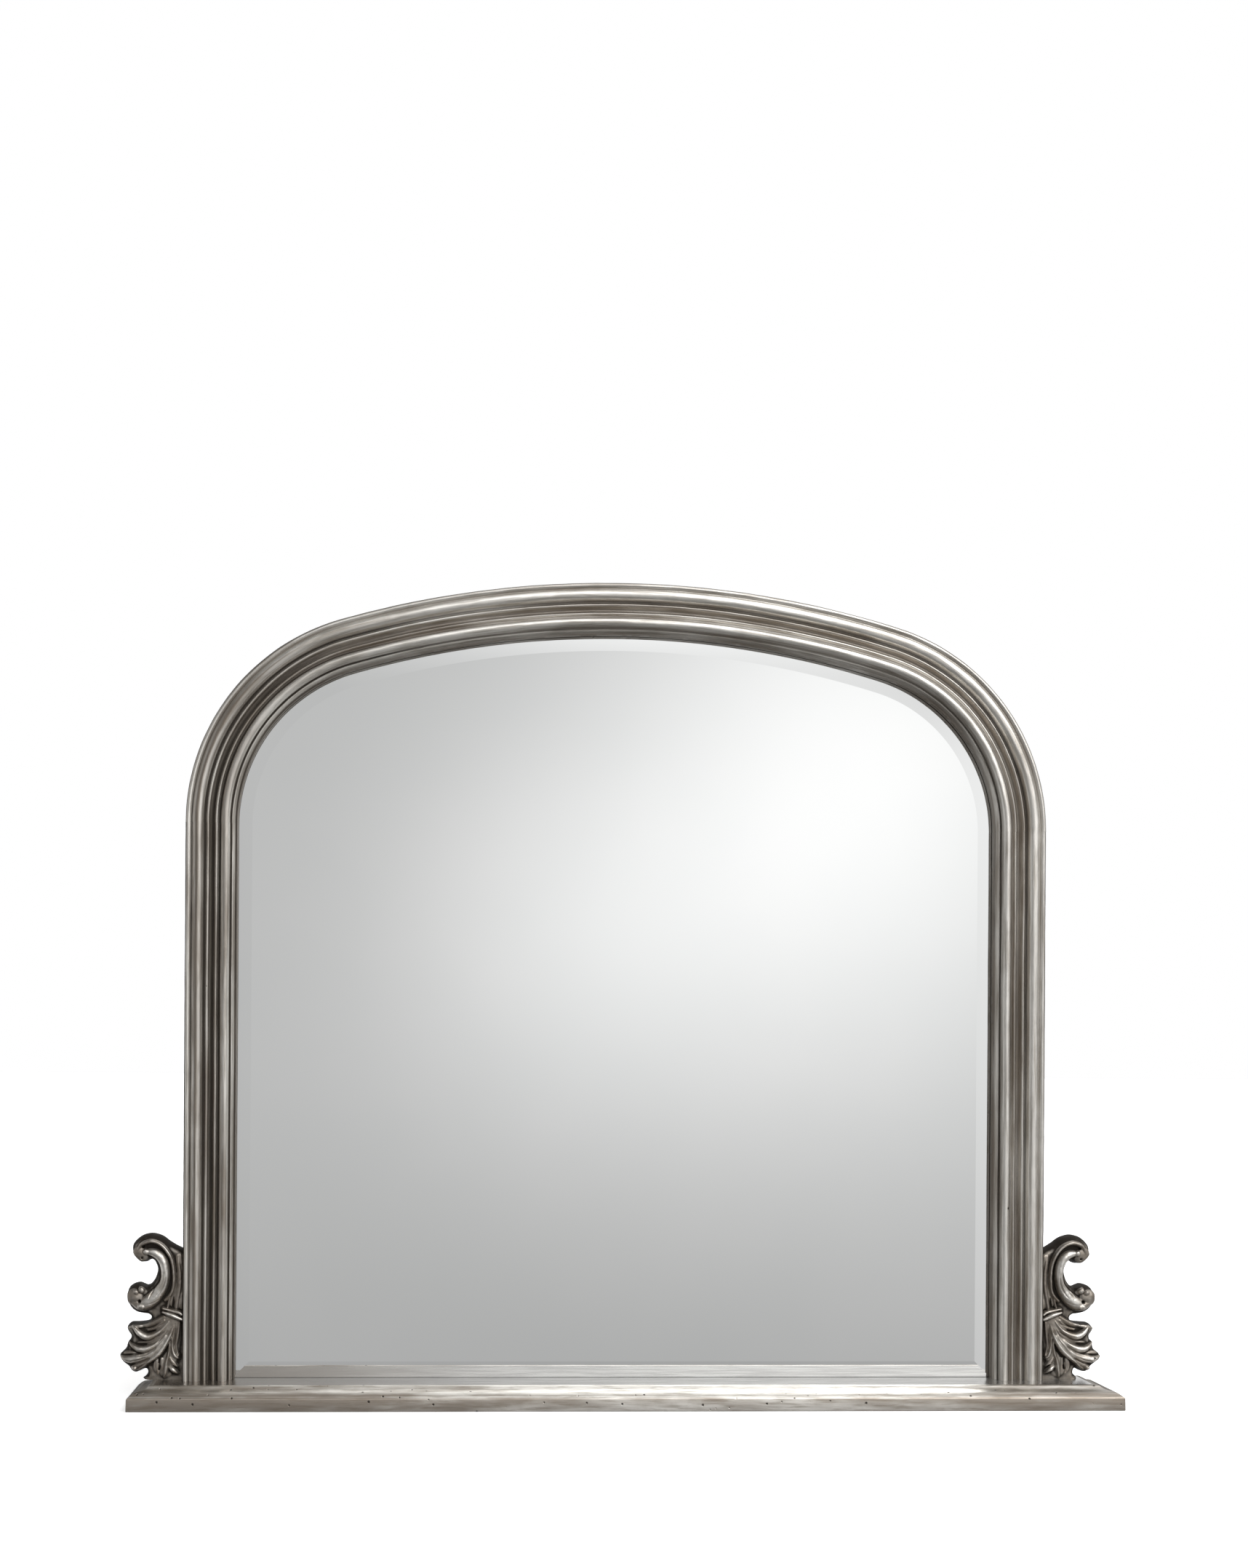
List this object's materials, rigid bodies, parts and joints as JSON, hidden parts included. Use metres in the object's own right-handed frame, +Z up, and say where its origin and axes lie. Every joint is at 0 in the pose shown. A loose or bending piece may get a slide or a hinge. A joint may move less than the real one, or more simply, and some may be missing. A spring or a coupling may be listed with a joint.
{
  "type": "overmantel mirror",
  "caption": "Arched overmantel mirror: moulded silvered wood frame, bevelled plate, carved scroll brackets and a stepped plinth to stand on a mantelshelf.",
  "frame": {"origin": "centre of the plinth's underside, where the mirror stands on the shelf", "axes": "+Z up, +X to the viewer's right along the plinth, +Y towards the wall; the viewer stands on the -Y side"},
  "size_m": [1.2835, 0.09, 1.0579],
  "materials": {
    "silvered_wood": "antique silver leaf over carved softwood, rubbed on the high points and dark in the hollows",
    "bare_wood": "plain unfinished softwood",
    "backing": "brown hardboard sheet",
    "mirror": "silvered float glass with a polished bevel",
    "steel": "zinc plated",
    "brass": "brass plated steel",
    "rubber": "matt black",
    "felt": "grey felt"
  },
  "bodies": {
    "mirror": {"plinth_board": "bare_wood", "plinth_front_edging": "silvered_wood", "plinth_left_edging": "silvered_wood", "plinth_right_edging": "silvered_wood", "left_upright": "silvered_wood", "right_upright": "silvered_wood", "left_haunch": "silvered_wood", "right_haunch": "silvered_wood", "crown": "silvered_wood", "arch_dowels": "bare_wood", "foot_screws": "steel", "left_scroll": "silvered_wood", "right_scroll": "silvered_wood", "scroll_dowels": "bare_wood", "mirror_plate": "mirror", "setting_blocks": "rubber", "plate_pads": "felt", "backing_board": "backing", "backing_screws": "steel", "left_hanger_strap": "brass", "right_hanger_strap": "brass", "hanger_screws": "brass"},
    "left_ring": {"left_hanger_ring": "brass"},
    "right_ring": {"right_hanger_ring": "brass"}
  },
  "joints": [
    {"name": "left_ring_hinge", "type": "hinge", "parent": "mirror", "child": "left_ring", "pos_m": [-0.5515, 0.042, 0.699], "axis": [1, 0, 0], "range_deg": [0, 180]},
    {"name": "right_ring_hinge", "type": "hinge", "parent": "mirror", "child": "right_ring", "pos_m": [0.5275, 0.042, 0.699], "axis": [1, 0, 0], "range_deg": [0, 180]}
  ]
}
